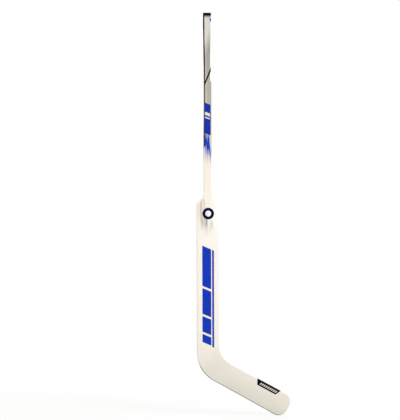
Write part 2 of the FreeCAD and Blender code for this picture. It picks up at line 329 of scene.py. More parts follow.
class Paint:
    """A Principled material and short names for the nodes that feed it."""

    def __init__(self, name, **sockets):
        self.material = bpy.data.materials.new(name)
        self.material.use_nodes = True
        self.tree = self.material.node_tree
        self.shader = self.tree.nodes["Principled BSDF"]
        for socket, value in sockets.items():
            self.shader.inputs[socket.replace("_", " ")].default_value = value
        self.place = self.node("ShaderNodeTexCoord").outputs["Object"]
        split = self.node("ShaderNodeSeparateXYZ")
        self.link(self.place, split.inputs[0])
        self.x, self.y, self.z = split.outputs

    def node(self, kind, **settings):
        made = self.tree.nodes.new(kind)
        for key, value in settings.items():
            setattr(made, key, value)
        return made

    def link(self, value, socket):
        """Feed a socket from another one, or set it to a number or colour."""
        if isinstance(value, bpy.types.NodeSocket):
            self.tree.links.new(value, socket)
        else:
            socket.default_value = value

    def math(self, operation, a, b=0.0):
        made = self.node("ShaderNodeMath", operation=operation)
        self.link(a, made.inputs[0])
        self.link(b, made.inputs[1])
        return made.outputs[0]

    def times(self, product, *others):
        """Product of sockets and numbers."""
        for other in others:
            product = self.math("MULTIPLY", product, other)
        return product

    def plus(self, total, *others):
        """Sum of sockets and numbers."""
        for other in others:
            total = self.math("ADD", total, other)
        return total

    def minus(self, a, b):
        return self.math("SUBTRACT", a, b)

    def away(self, value, centre):
        """Distance of a socket from a number."""
        return self.math("ABSOLUTE", self.minus(value, centre))

    def step(self, value, low, high):
        """Smooth step of a socket from 0 at low to 1 at high."""
        made = self.node("ShaderNodeMapRange", interpolation_type="SMOOTHSTEP")
        if low > high:
            low, high, ends = high, low, (1.0, 0.0)
        else:
            ends = (0.0, 1.0)
        for socket, number in zip(made.inputs[:5], (value, low, high, *ends)):
            self.link(number, socket)
        return made.outputs[0]

    def window(self, value, start, full, fade, end):
        """1 from full to fade, and 0 before start and past end."""
        return self.times(self.step(value, start, full), self.step(value, end, fade))

    def scaled(self, x, y, z):
        made = self.node("ShaderNodeMapping")
        self.link(self.place, made.inputs["Vector"])
        made.inputs["Scale"].default_value = (x, y, z)
        return made.outputs[0]

    def noise(self, scale, detail=3.0, vector=None, roughness=0.5):
        made = self.node("ShaderNodeTexNoise")
        self.link(vector or self.place, made.inputs["Vector"])
        made.inputs["Scale"].default_value = scale
        made.inputs["Detail"].default_value = detail
        made.inputs["Roughness"].default_value = roughness
        return made.outputs["Fac"]

    def ramp(self, value, *stops):
        made = self.node("ShaderNodeValToRGB")
        self.link(value, made.inputs[0])
        while len(made.color_ramp.elements) < len(stops):
            made.color_ramp.elements.new(0.5)
        for element, (position, colour) in zip(made.color_ramp.elements, stops):
            element.position = position
            element.color = colour
        return made.outputs[0]

    def curve(self, value, *stops):
        """A number that follows a socket, as a ramp of greys."""
        return self.ramp(value, *[(position, (level, level, level, 1.0)) for position, level in stops])

    def mix(self, share, a, b):
        made = self.node("ShaderNodeMix", data_type="RGBA")
        self.link(share, made.inputs[0])
        self.link(a, made.inputs[6])
        self.link(b, made.inputs[7])
        return made.outputs[2]

    def tint(self, colour, other, *shares):
        """The colour moved towards another by the product of the shares."""
        return self.mix(self.times(*shares), colour, other)

    def mottled(self, scale, a, b, detail=3.0):
        """Two colours mixed by plain noise."""
        return self.mix(self.noise(scale, detail), a, b)

    def clouded(self, scale, low, high, a, b, detail=4.0):
        """Two colours mixed by noise, with a sharper change between them."""
        return self.mix(self.step(self.noise(scale, detail), low, high), a, b)

    def finish(self, colour, bump, distance, strength, roughness):
        """The material with this colour and roughness, and a bump whose distance is in metres."""
        self.link(colour, self.shader.inputs["Base Color"])
        self.link(roughness, self.shader.inputs["Roughness"])
        made = self.node("ShaderNodeBump")
        made.inputs["Strength"].default_value = strength
        made.inputs["Distance"].default_value = distance
        self.link(bump, made.inputs["Height"])
        self.link(made.outputs[0], self.shader.inputs["Normal"])
        return self.material


PADDLE_WHITE = srgb(244, 241, 233)
PADDLE_DEEP = srgb(240, 236, 227)
SHAFT_WHITE = srgb(242, 235, 224)
SHAFT_DEEP = srgb(238, 231, 217)
NECK_WHITE = srgb(243, 236, 226)
STROKE_DARK = srgb(112, 107, 97)
BLUE = srgb(16, 55, 188)
BLACK = srgb(10, 10, 10)
COAT_BUMP = 0.00012


def streaks(paint, along, across):
    """Brushed streaks that run up the stick."""
    return paint.noise(1.0, 4.0, paint.scaled(across, across * 0.3, along), 0.6)


def coat_bump(paint):
    """Orange peel of the clear coat over long, shallow waves."""
    peel = paint.noise(420.0, 2.0)
    wave = paint.noise(60.0, 2.0)
    return paint.plus(paint.times(peel, 0.4), wave)


def rough(paint, low, spread):
    """Roughness that varies a little over the surface."""
    return paint.plus(paint.times(paint.noise(14.0, 4.0), spread), low)


def twill(paint, pitch):
    """Waves of the two crossing tows of a 2/2 twill on the upright faces."""
    turns = 2 * math.pi / (pitch * MM)
    flat = paint.plus(paint.x, paint.y)
    warp = paint.math("SINE", paint.times(paint.plus(flat, paint.z), turns))
    weft = paint.math("SINE", paint.times(paint.minus(flat, paint.z), turns))
    return warp, weft


def blade_axis(paint, x_share, z_share):
    """Metres from the heel's sharp corner along one axis of the blade's grid."""
    run = paint.plus(paint.times(paint.x, x_share), paint.times(paint.z, z_share))
    return paint.minus(run, (HEEL_X * x_share + HEEL_Z * z_share) * MM)


def shoulder_strokes(p, colour, tongue):
    """Grey brush strokes that run down from the shoulders and end at different heights."""
    brush = p.plus(p.times(streaks(p, 7.0, 700.0), 0.4), p.times(streaks(p, 4.0, 330.0), 0.6))
    ends = p.plus(p.times(p.away(p.x, -0.002), 1.1), p.times(streaks(p, 0.0, 240.0), 0.11))
    zone = p.step(p.minus(p.z, ends), -0.216, -0.174)
    # Beside the ring they keep to the heel side.
    reach = p.times(p.step(p.z, -0.06, -0.11), 0.024)
    zone = p.times(zone, p.step(p.minus(p.x, reach), 0.006, -0.018), p.step(p.x, -0.034, -0.022))
    # They stay on the faces, fade in under the neck, and keep off the tongue and the shoulder's slanted edge.
    zone = p.times(zone, p.step(p.math("ABSOLUTE", p.y), 0.0066, 0.0088), p.step(p.z, -0.001, -0.020))
    edge = p.minus(p.times(p.plus(p.x, SHAFT_W / 2 * MM), SHOULDER_SLOPE), p.z)
    zone = p.times(zone, p.step(tongue, 0.9, 0.1), p.step(edge, 0.001, 0.015))
    colour = p.tint(colour, srgb(136, 129, 117), p.step(brush, 0.42, 0.60), zone, 0.95)
    # Two of them are darker under the ring.
    for centre, low, share in ((-0.0045, -0.125, 0.6), (-0.0108, -0.128, 0.3)):
        core = p.times(p.step(p.away(p.x, centre), 0.005, 0.001), zone)
        colour = p.tint(colour, STROKE_DARK, core, p.window(p.z, low, -0.105, -0.09, -0.07), share)
    return colour


def blade_painted_shade(p, colour):
    """The blade greys towards the sole, throat and heel as painted shade, and warms at the toe."""
    up = blade_axis(p, SIN, COS)
    along = blade_axis(p, COS, -SIN)
    colour = p.tint(colour, srgb(231, 226, 214), p.step(p.z, -0.48, -0.64), 0.5)
    colour = p.tint(colour, srgb(228, 224, 212), p.step(along, 0.04, 0.24), 0.35)
    low = p.times(p.step(up, 0.095, 0.0), p.step(along, 0.02, 0.14))
    colour = p.tint(colour, srgb(208, 206, 194), low, 0.62)
    throat = p.times(p.step(p.x, 0.0, 0.035), p.step(p.z, -0.55, -0.61), p.step(along, 0.14, 0.07))
    colour = p.tint(colour, srgb(221, 217, 206), throat, 0.4)
    heel = p.times(p.window(along, -0.02, 0.03, 0.03, 0.09), p.step(up, 0.085, 0.015))
    colour = p.tint(colour, srgb(204, 199, 187), heel, 0.4)
    toe = p.times(p.step(along, 0.27, 0.36), p.step(up, 0.02, 0.06))
    return p.tint(colour, srgb(234, 222, 207), toe, 0.4)


def white_paint(name):
    """Warm white lacquer: faint clouding, grey brush streaks under the shoulders, painted shade and painted
    light on the shoulders, and painted shade that greys the sole side.
    """
    p = Paint(name, Coat_Weight=0.25, Coat_Roughness=0.14)
    colour = p.clouded(7.0, 0.35, 0.7, PADDLE_WHITE, PADDLE_DEEP)
    # The shaft's warmer white runs into the paddle as a tongue between the shoulders.
    narrowing = p.times(p.z, -SHAFT_W / 2 / TONE_TONGUE)
    tongue = p.step(p.plus(p.away(p.x, -0.0005), narrowing), 0.0175, 0.0145)
    colour = p.tint(colour, SHAFT_WHITE, tongue, p.step(p.z, -0.07, -0.045))
    colour = p.tint(colour, SHAFT_WHITE, p.step(p.z, -0.014, -0.001))
    # The shoulders: painted shade in a warm tan on the heel side, painted light in a cleaner white on the toe
    # side.
    haze_and_painted_shade = p.times(p.step(p.x, -0.014, -0.034), p.step(p.z, -0.125, -0.05))
    colour = p.tint(colour, srgb(236, 219, 194), haze_and_painted_shade, 0.66)
    painted_light_toe_shoulder = p.times(p.step(p.x, 0.008, 0.034), p.step(p.z, -0.16, -0.09))
    colour = p.tint(colour, srgb(250, 249, 245), painted_light_toe_shoulder, 0.7)
    colour = shoulder_strokes(p, colour, tongue)
    colour = blade_painted_shade(p, colour)
    return p.finish(colour, coat_bump(p), COAT_BUMP, 0.25, rough(p, 0.26, 0.16))


def shaft_tones(p):
    """Cream that turns to brushed greys up the shaft, with the weave and a blue haze in it."""
    cream = p.clouded(7.0, 0.35, 0.7, SHAFT_WHITE, SHAFT_DEEP)
    cream = p.tint(cream, NECK_WHITE, p.step(p.z, 0.04, 0.002))
    # The changes of grey are brushed: near the butt the pale tone reaches further down the heel side.
    lag = p.plus(p.times(p.x, 2.2), p.times(streaks(p, 5.0, 160.0), 0.06))
    lag = p.minus(lag, p.times(p.step(p.x, -0.004, -0.0095), 0.02))
    tone = p.ramp(
        p.math("DIVIDE", p.minus(p.z, lag), SHAFT_RISE * MM),
        (0.36, srgb(186, 181, 171)),
        (0.60, srgb(172, 168, 158)),
        (0.66, srgb(162, 159, 151)),
        (0.75, srgb(154, 152, 146)),
        (0.785, srgb(172, 170, 163)),
        (0.83, srgb(198, 195, 187)),
        (0.87, srgb(212, 210, 201)),
        (0.96, srgb(206, 204, 197)),
    )
    colour = p.mix(p.step(p.z, 0.200, 0.245), cream, tone)
    # Across the face the grey is paler on the heel side and, lower down, deeper past the middle.
    greyed = p.step(p.z, 0.20, 0.25)
    colour = p.tint(colour, srgb(230, 227, 218), p.step(p.x, 0.002, -0.005), greyed, 0.2)
    deeper = p.times(p.step(p.away(p.x, 0.005), 0.004, 0.001), greyed, p.step(p.z, 0.47, 0.38))
    colour = p.tint(colour, srgb(120, 118, 112), deeper, 0.12)
    # The laminate's weave shows faintly through the grey.
    weave_mark = p.step(p.times(*twill(p, 2.4)), -1.0, 1.0)
    colour = p.tint(colour, srgb(110, 108, 104), weave_mark, p.step(p.z, 0.25, 0.40), 0.10)
    # A thin blue haze lies under the printed brush strokes.
    haze_and_painted_shade = p.times(p.window(p.z, 0.12, 0.19, 0.20, 0.236), p.step(p.math("ABSOLUTE", p.x), 0.0135, 0.010))
    return p.tint(colour, srgb(84, 106, 208), haze_and_painted_shade, p.step(streaks(p, 6.0, 300.0), 0.35, 0.6), 0.6)


def toe_side(p, colour):
    """Toe-side corner and narrow side: darker beside the block, white near the butt, with a blue tab."""
    beside = p.times(p.step(p.z, 0.140, 0.165), 0.5)
    beside = p.plus(beside, p.times(p.window(p.z, 0.142, 0.155, 0.176, 0.192), 0.3))
    beside = p.plus(beside, p.times(p.step(p.z, 0.235, 0.27), 0.22))
    # The narrow side itself stays paler than its front corner.
    facing = p.plus(p.times(p.step(p.y, -0.0035, -0.0065), 0.75), 0.25)
    colour = p.tint(colour, srgb(120, 117, 110), p.step(p.x, 0.0100, 0.0130), beside, facing)
    turning = p.times(p.step(p.x, 0.0128, 0.0142), p.step(p.y, -0.0058, -0.0066))
    colour = p.tint(colour, srgb(80, 78, 80), turning, p.window(p.z, 0.142, 0.155, 0.428, 0.432), 0.7)
    # On the side the white's lower end climbs towards the back, as the slash does across the front.
    inset = p.minus(p.x, p.times(p.step(p.z, 0.47, 0.66), 0.0018))
    climb = p.times(p.math("MAXIMUM", p.plus(p.y, 0.0055), 0.0), SLASH_CLIMB)
    panel = p.times(p.step(inset, 0.0104, 0.0108), p.step(p.minus(p.z, climb), 0.428, 0.430))
    colour = p.tint(colour, p.mottled(30.0, srgb(244, 242, 236), srgb(238, 236, 229)), panel)
    leaning = p.step(p.plus(p.x, p.times(p.z, 0.3)), 0.2073, 0.2075)
    tab = p.times(p.window(p.z, 0.6539, 0.6541, 0.6669, 0.6671), leaning)
    return p.tint(colour, p.mottled(40.0, srgb(18, 38, 152), srgb(28, 48, 162)), tab)


def heel_side(p, colour):
    """Heel-side corner with a black line that widens round it towards the butt, and that line's share."""
    across = p.minus(-(SHAFT_W / 2 - EDGE_R) * MM, p.x)
    depth = p.minus(-(SHAFT_D / 2 - EDGE_R) * MM, p.y)
    turn = p.math("DIVIDE", p.math("ARCTAN2", across, depth), math.pi)
    angle = p.plus(turn, 0.2)
    height = p.math("DIVIDE", p.z, SHAFT_RISE * MM)
    outer = p.curve(
        height,
        (0.27, 0.43),
        (0.42, 0.40),
        (0.56, 0.36),
        (0.67, 0.37),
        (0.75, 0.46),
        (0.80, 0.57),
        (0.87, 0.72),
        (0.92, 0.95),
        (0.95, 1.30),
    )
    inner = p.curve(
        height,
        (0.27, 0.115),
        (0.56, 0.095),
        (0.68, 0.09),
        (0.80, 0.115),
        (0.86, 0.19),
        (0.90, 0.18),
        (0.94, 0.185),
        (0.98, 0.22),
    )
    line = p.times(p.math("LESS_THAN", angle, outer), p.math("GREATER_THAN", angle, inner))
    line = p.times(line, p.math("GREATER_THAN", p.plus(p.z, p.times(angle, 0.06)), 0.201))
    colour = p.tint(colour, p.mottled(40.0, BLACK, srgb(30, 29, 27)), line)
    beyond = p.times(p.math("GREATER_THAN", angle, outer), p.math("LESS_THAN", p.x, 0.0))
    colour = p.tint(colour, p.mottled(20.0, srgb(242, 232, 214), srgb(236, 225, 206)), beyond)
    # A grey line further round that corner, beside the block and its strokes.
    thin = p.times(p.math("GREATER_THAN", turn, 0.25), p.math("LESS_THAN", turn, 0.62))
    thin = p.times(thin, p.window(p.z, 0.118, 0.142, 0.25, 0.32))
    return p.tint(colour, p.mottled(40.0, srgb(58, 55, 50), srgb(84, 80, 74)), thin, 0.95), line


def shaft_paint(name):
    """Cream to grey lacquer up the shaft, with its painted corners and the shade under the cap."""
    p = Paint(name, Coat_Roughness=0.14, Specular_IOR_Level=0.0)
    colour = toe_side(p, shaft_tones(p))
    colour, line = heel_side(p, colour)
    colour = p.tint(colour, srgb(40, 40, 38), p.step(p.z, 0.6665, 0.678), 0.9)
    # The black line has no clear coat.
    p.link(p.times(p.minus(1.0, line), 0.7), p.shader.inputs["Coat Weight"])
    return p.finish(colour, coat_bump(p), COAT_BUMP, 0.25, rough(p, 0.32, 0.16))


def ink(name, colour, deep, roughness=0.3, coat=0.3, specular=0.5):
    """Printed ink under clear coat, a little uneven."""
    p = Paint(name, Coat_Weight=coat, Coat_Roughness=0.08, Specular_IOR_Level=specular)
    shade = p.clouded(90.0, 0.3, 0.75, colour, deep, 3.0)
    return p.finish(shade, coat_bump(p), COAT_BUMP, 0.2, rough(p, roughness, 0.12))


def rubber(name):
    """Moulded black rubber with a fine spark-eroded grain."""
    p = Paint(name, Specular_IOR_Level=0.05)
    shade = p.clouded(160.0, 0.35, 0.7, srgb(9, 9, 9), srgb(18, 18, 17))
    # The spigot is painted paler than the cap, a painted light that lets its ribs show.
    spigot_painted_light = p.mottled(90.0, srgb(44, 44, 43), srgb(60, 60, 58), 4.0)
    shade = p.tint(shade, spigot_painted_light, p.step(p.z, SHAFT_RISE * MM, (SHAFT_RISE - 2) * MM), 0.8)
    return p.finish(shade, p.noise(1800.0, 2.0), 0.0001, 0.2, rough(p, 0.7, 0.2))


def foam(name, colour, deep):
    """Closed-cell foam."""
    p = Paint(name)
    cells = p.node("ShaderNodeTexVoronoi")
    p.link(p.place, cells.inputs["Vector"])
    cells.inputs["Scale"].default_value = 650.0
    size = cells.outputs["Distance"]
    shade = p.mix(p.step(size, 0.1, 0.8), colour, deep)
    return p.finish(shade, size, 0.0005, 0.6, rough(p, 0.8, 0.15))


def weave(name):
    """Woven carbon laminate: a twill of two crossing tows."""
    p = Paint(name, Coat_Weight=0.5, Coat_Roughness=0.05)
    warp, weft = twill(p, 2.9)
    shade = p.mix(p.math("GREATER_THAN", warp, weft), srgb(22, 22, 24), srgb(44, 44, 47))
    return p.finish(shade, p.math("MAXIMUM", warp, weft), 0.0002, 0.4, rough(p, 0.3, 0.1))


white = white_paint("white_lacquer")
shaft_coat = shaft_paint("shaft_lacquer")
blue = ink("blue_ink", BLUE, srgb(10, 48, 176), coat=0.0, specular=0.12)
block_blue = ink("block_ink", srgb(13, 48, 172), srgb(9, 42, 158), coat=0.0, specular=0.12)
black = ink("black_ink", BLACK, srgb(16, 16, 15), coat=0.0, specular=0.03)
brush_blue = ink("brush_ink", srgb(6, 44, 178), srgb(24, 60, 190), coat=0.0, specular=0.2)
pale = ink("pale_ink", srgb(222, 219, 210), srgb(208, 205, 196))
key_grey = ink("keyline_ink", srgb(170, 163, 146), srgb(158, 151, 134))
# The sole edge's grey is partly the resin's own colour and partly painted shade of the blade's underside.
resin_grey_and_painted_shade = ink("edge_resin", srgb(138, 135, 126), srgb(118, 115, 107), 0.5, 0.0, 0.3)
plug_black = rubber("plug_rubber")
foam_light = foam("foam", srgb(222, 208, 170), srgb(196, 180, 140))
foam_dense = foam("dense_foam", srgb(178, 158, 122), srgb(150, 130, 98))
carbon = weave("carbon_laminate")

# Shaft, paddle and blade as three skins of one continuous surface.
pairs, seam, mitre = stations()
loops = [section(pair) for pair in pairs]


def bore_loop(depth, z):
    """The shaft's outline moved inwards by depth, point by point."""
    half_w, half_d = SHAFT_W / 2 - EDGE_R, SHAFT_D / 2 - EDGE_R
    share = 1 - depth / EDGE_R
    loop = []
    for x, y, _ in loops[0]:
        cx, cy = min(max(x, -half_w), half_w), min(max(y, -half_d), half_d)
        loop.append((cx + (x - cx) * share, cy + (y - cy) * share, z))
    return loop


def shaft_piece():
    """Shaft with its open, walled butt."""
    bm = bmesh.new()
    tube(bm, loops[: seam + 1], cap_start=False)
    depths = [SHAFT_RISE, SHAFT_RISE - 0.6, SHAFT_RISE - 60, SHAFT_RISE / 2, BORE_END]
    tube(bm, [loops[0]] + [bore_loop(SHAFT_WALL, z) for z in depths], cap_start=False)
    return new_object("shaft_shell", bm, shaft_coat)


def lining_piece():
    """Bare woven laminate that lines the bore."""
    bm = bmesh.new()
    foot, head = BORE_END + 1, SHAFT_RISE - 0.8
    rows = []
    for depth, ends in ((0.01, (foot, head)), (0.05, (head, foot))):
        rows += [bore_loop(SHAFT_WALL + depth, z) for z in ends]
    tube(bm, rows + rows[:1], cap_start=False, cap_end=False)
    return new_object("shaft_lining", bm, carbon)


def shell(name, first, last):
    """White skin between two of the cross-sections."""
    bm = bmesh.new()
    tube(bm, loops[first : last + 1], cap_end=last < len(loops) - 1)
    return new_object(name, bm, white)


shaft_shell = shaft_piece()
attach(lining_piece(), "stick")
paddle_shell = shell("paddle_shell", seam, mitre)
blade_shell = shell("blade_shell", mitre, len(loops) - 1)


def sole_piece():
    """Grey resin wear edge round the heel and along the sole, a hair proud of the lacquer; its dark grey is
    partly painted shade of the underside.
    """
    start, end = left.marks[2][0] + 16, left.marks[3][0] + 54
    count, arc = 150, 6
    rows = []
    for i in range(count + 1):
        length = start + (end - start) * i / count
        # The ends narrow to a point on the side, then the edge spreads round both roundings.
        ahead = min(length - start, end - length)
        spread = max(0.04, math.sqrt(min(1.0, ahead / SOLE_TIP)))
        first = math.radians(90 - 64 * smooth(12, 46, ahead))
        angles = [first + (math.pi / 2 - first) * k / arc for k in range(arc + 1)]
        lift = SOLE_PROUD * smooth(0, SOLE_TIP, ahead) + 0.02
        outer, inner = [], []
        for front in (True, False):
            over = [edge_point(left, length, angle, front, lift=lift) for angle in angles]
            under = [edge_point(left, length, angle, front, lift=-SOLE_SUNK) for angle in angles]
            outer += over if front else over[::-1]
            inner += under if front else under[::-1]
        middle = (outer[arc][1] + outer[arc + 1][1]) / 2
        rows.append([(x, middle + (y - middle) * spread, z) for x, y, z in outer + inner[::-1]])
    bm = bmesh.new()
    tube(bm, rows)
    return new_object("sole_edge", bm, resin_grey_and_painted_shade)


sole_edge = sole_piece()


def plug_piece():
    """Butt plug: dished cap, shadow line over the shaft, ribbed hollow spigot."""
    base, top, end = SHAFT_RISE, SHAFT_RISE + CAP_H, SHAFT_RISE - SPIGOT
    wall = SHAFT_WALL + SPIGOT_GAP
    inside = wall + SPIGOT_WALL
    # Pairs of inset and height, from the middle of the cap's dish to the roof of the hollow spigot.
    profile = [(6.2, top - 0.7), (5.2, top - 0.65), (4.7, top - 0.25), (4.1, top - 0.05), (3.4, top)]
    for k in range(ROUND + 1):
        angle = math.pi / 2 * k / ROUND
        profile.append((CAP_R * (1 - math.sin(angle)), top - CAP_R * (1 - math.cos(angle))))
    profile += [(0.0, base + 3.4), (0.25, base + 3.1), (0.25, base + 2.6), (0.0, base + 2.3)]
    profile += [(0.0, base + 0.7), (0.12, base + 0.35), (0.45, base + 0.06), (1.0, base)]
    profile += [(wall, base), (wall, base - 1.0)]
    pitch = SPIGOT / RIBS
    for index in range(RIBS):
        middle = base - pitch * (index + 0.5)
        for offset, proud in ((2.4, 0.0), (1.9, 0.2), (1.2, 0.2), (-1.2, 0.2), (-1.9, 0.2), (-2.4, 0.0)):
            profile.append((wall - proud, middle + offset))
    profile += [(wall, end + 1.2), (wall + 0.8, end), (inside, end), (inside, base - 1.0)]
    profile += [(inside + 0.6, base - 0.4)]
    bm = bmesh.new()
    tube(bm, [bar_loop(inset, z) for inset, z in profile])
    return new_object("butt_plug_moulding", bm, plug_black, 28)


plug = plug_piece()


# Printed film: thin closed patches that follow the front or back face.


def surface_y(x, z, front):
    """Depth of the outside at a point, with the rounding of the shaft's, paddle's or blade's edge near it."""
    along, up = blade_grid(x, z)
    if along > 100:
        inset = (HEEL_H + FLARE * along - up) / math.hypot(1, FLARE)
    else:
        inset = (SHAFT_W if z > 0 else PADDLE_W) / 2 - abs(x)
    past = min(max(0.0, EDGE_R - inset), EDGE_R)
    into = EDGE_R - math.sqrt(EDGE_R**2 - past**2)
    y = face_y(x, z, front)
    return y + into if front else y - into


def film(name, shapes, material, front=True, lift=FILM_LIFT, grid=4.0):
    """One piece of print from (x, z) polygons in millimetres, cut into a grid so that it follows the face."""
    bm = bmesh.new()
    for shape in shapes:
        bm.faces.new([bm.verts.new((x, 0, z)) for x, z in shape])
    bmesh.ops.remove_doubles(bm, verts=bm.verts, dist=1e-3)
    for axis, normal in ((0, (1, 0, 0)), (2, (0, 0, 1))):
        values = [vert.co[axis] for vert in bm.verts]
        for k in range(math.ceil(min(values) / grid), math.floor(max(values) / grid) + 1):
            everything = bm.verts[:] + bm.edges[:] + bm.faces[:]
            place = [n * k * grid for n in normal]
            bmesh.ops.bisect_plane(bm, geom=everything, plane_co=place, plane_no=normal)
    sign = -1 if front else 1
    faces = bm.faces[:]
    rim_edges = [edge for edge in bm.edges if len(edge.link_faces) == 1]
    under = {}
    for vert in bm.verts[:]:
        y = surface_y(vert.co.x, vert.co.z, front)
        under[vert] = bm.verts.new((vert.co.x, y - sign * FILM_SUNK, vert.co.z))
        vert.co.y = y + sign * lift
    for face in faces:
        bm.faces.new([under[vert] for vert in reversed(face.verts)])
    for edge in rim_edges:
        a, b = edge.verts
        bm.faces.new((a, b, under[b], under[a]))
    piece = new_object(name, bm, material, 50)
    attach(piece, "stick")


def turned(shape, front):
    """The same polygon as seen on its own face: the back is turned about the stick's axis."""
    return shape if front else [(-x, z) for x, z in shape]


def slanted(x0, x1, top, bottom, slant):
    """Upright band with parallel slanted ends that drop towards +X."""
    drop = (x1 - x0) * slant
    return [(x0, bottom), (x1, bottom - drop), (x1, top - drop), (x0, top)]


def softened(shape, radius, segments=4):
    """The same polygon with rounded corners."""
    made = []
    for i, (x, z) in enumerate(shape):
        (ax, az), (bx, bz) = shape[i - 1], shape[(i + 1) % len(shape)]
        la, lb = math.hypot(ax - x, az - z), math.hypot(bx - x, bz - z)
        cut = min(radius, la / 2.2, lb / 2.2)
        start = (x + (ax - x) / la * cut, z + (az - z) / la * cut)
        end = (x + (bx - x) / lb * cut, z + (bz - z) / lb * cut)
        for k in range(segments + 1):
            t = k / segments
            made.append(
                tuple(start[n] * (1 - t) ** 2 + (x, z)[n] * 2 * t * (1 - t) + end[n] * t**2 for n in (0, 1))
            )
    return made


def disc(x, z, radius, count=72):
    """Polygon of a circle."""
    turns = [2 * math.pi * k / count for k in range(count)]
    return [(x + radius * math.cos(turn), z + radius * math.sin(turn)) for turn in turns]


def band(inner, outer):
    """Quads between two polygons with equally many corners."""
    count = len(inner)
    return [[inner[i], inner[(i + 1) % count], outer[(i + 1) % count], outer[i]] for i in range(count)]


def grown(shape, width):
    """The polygon moved outwards by width at every corner."""
    area = sum(a[0] * b[1] - b[0] * a[1] for a, b in zip(shape, shape[1:] + shape[:1]))
    side = math.copysign(1, area)
    made = []
    for i, (x, z) in enumerate(shape):
        (ax, az), (bx, bz) = shape[i - 1], shape[(i + 1) % len(shape)]
        la, lb = math.hypot(x - ax, z - az), math.hypot(bx - x, bz - z)
        na, nb = ((z - az) / la, (ax - x) / la), ((bz - z) / lb, (x - bx) / lb)
        mx, mz = na[0] + nb[0], na[1] + nb[1]
        scale = 2 * width * side / (mx * mx + mz * mz)
        made.append((x + mx * scale, z + mz * scale))
    return made


def paddle_print(front):
    """A broken stripe down the paddle: four lengths with slanted ends, and a thin line beside them."""
    shapes = []
    top = -188.0
    for length in (150.0, 96.0, 58.0, 30.0):
        shapes.append(softened(slanted(-20.5, 12.0, top, top - length, PRINT_SLANT), 2.5))
        top -= length + 9.0
    shapes.append(softened(slanted(16.5, 22.5, -203.5, -568.0, PRINT_SLANT), 1.5))
    shapes = [turned(shape, front) for shape in shapes]
    film(f"paddle_stripe_{FACES[front]}", shapes, blue, front, grid=60.0)
    lines = [quad for shape in shapes for quad in band(shape, grown(shape, 0.9))]
    film(f"paddle_keyline_{FACES[front]}", lines, key_grey, front, grid=400.0)


def shaft_print(front):
    """A slanted block on the shaft with a keyline, and two bars of unequal height across it."""
    block = [(-10.0, 236.3), (10.0, 228.5), (10.0, 341.4), (-10.0, 349.0)]
    film(f"shaft_block_{FACES[front]}", [turned(block, front)], block_blue, front, grid=30.0)
    line = band(turned(block, front), turned(grown(block, 1.1), front))
    film(f"shaft_block_line_{FACES[front]}", line, black, front)
    bars = [slanted(-9.3, 9.3, top, top - height, BAR_SLANT) for top, height in ((316.0, 12.0), (298.0, 5.0))]
    film(f"shaft_bars_{FACES[front]}", [turned(bar, front) for bar in bars], pale, front, lift=0.28)


def scatter(seed):
    """Repeatable number from 0 to 1."""
    return math.sin(seed * 12.9898) * 43758.5453 % 1.0


def bristle(x0, x1, first, top, full, hold, end, power):
    """Mark of one bristle: it fades in, runs on and thins out to a point, and the toe side fans out."""
    count = 18
    sides = [], []
    for k in range(count + 1):
        z = top + (end - top) * k / count
        if z > hold:
            share = first + (1 - first) * smooth(top, full, z)
        else:
            share = max(0.03, max(0.0, (z - end) / (hold - end)) ** power)
        middle, half = (x0 + x1) / 2, (x1 - x0) / 2 * share
        fan = BRUSH_FAN * min(1.0, (top - z) / FAN_DROP)
        for side, x in zip(sides, (middle - half, middle + half)):
            side.append((x + fan * max(0.0, (x - FAN_START) / (BRUSH_EDGE - FAN_START)) ** 2, z))
    return sides[0] + sides[1][::-1]


def brush_print(front):
    """Dry-brush marks that fade the block into the cream: two lobes, and wisps that fan out past them."""
    marks = []
    lobes_end = BRUSH_ZONES[-1][0]
    x, seed = BRUSH_START, 3
    while x < BRUSH_EDGE - 0.1:
        wide = 0.7 + 1.0 * scatter(seed)
        if x < lobes_end:
            _, first, full, hold, end = [zone for zone in BRUSH_ZONES if x < zone[0]][0]
            power, gap = 3.0, 0.02
        else:
            out = (x - lobes_end) / (BRUSH_EDGE - lobes_end)
            wide *= 0.4
            first, full, hold, end = 0.5, 214.0, 178.0 - 38.0 * out, 136.0 - 22.0 * out
            power, gap = 1.5, 0.1
        top = 236.0 - 0.39 * (x + 10) - 3.0 * scatter(seed + 0.8)
        full -= 6.0 * scatter(seed + 0.5)
        hold += 8.0 * scatter(seed + 0.3) - 4.0
        end -= 24.0 * scatter(seed + 0.6)
        right_side = min(x + wide, BRUSH_EDGE)
        marks.append(bristle(x, right_side - gap, first, top, full, hold, end, power))
        x = right_side
        seed += 1
    marks = [turned(mark, front) for mark in marks]
    film(f"brush_strokes_{FACES[front]}", marks, brush_blue, front, grid=8.0)


for front in (True, False):
    paddle_print(front)
    shaft_print(front)
    brush_print(front)

slash = [(-10.6, 412.6), (13.0, 467.8), (13.0, 483.4), (-10.6, 425.6)]
film("shaft_slash", [slash], black, lift=0.2, grid=1.5)
circles = [disc(RING_X, RING_Z, radius) for radius in RING_RADII]
film("ring_black", band(circles[1], circles[2]), black, grid=3.0)
film("ring_keyline", band(circles[0], circles[1]) + band(circles[2], circles[3]), blue, grid=3.0)


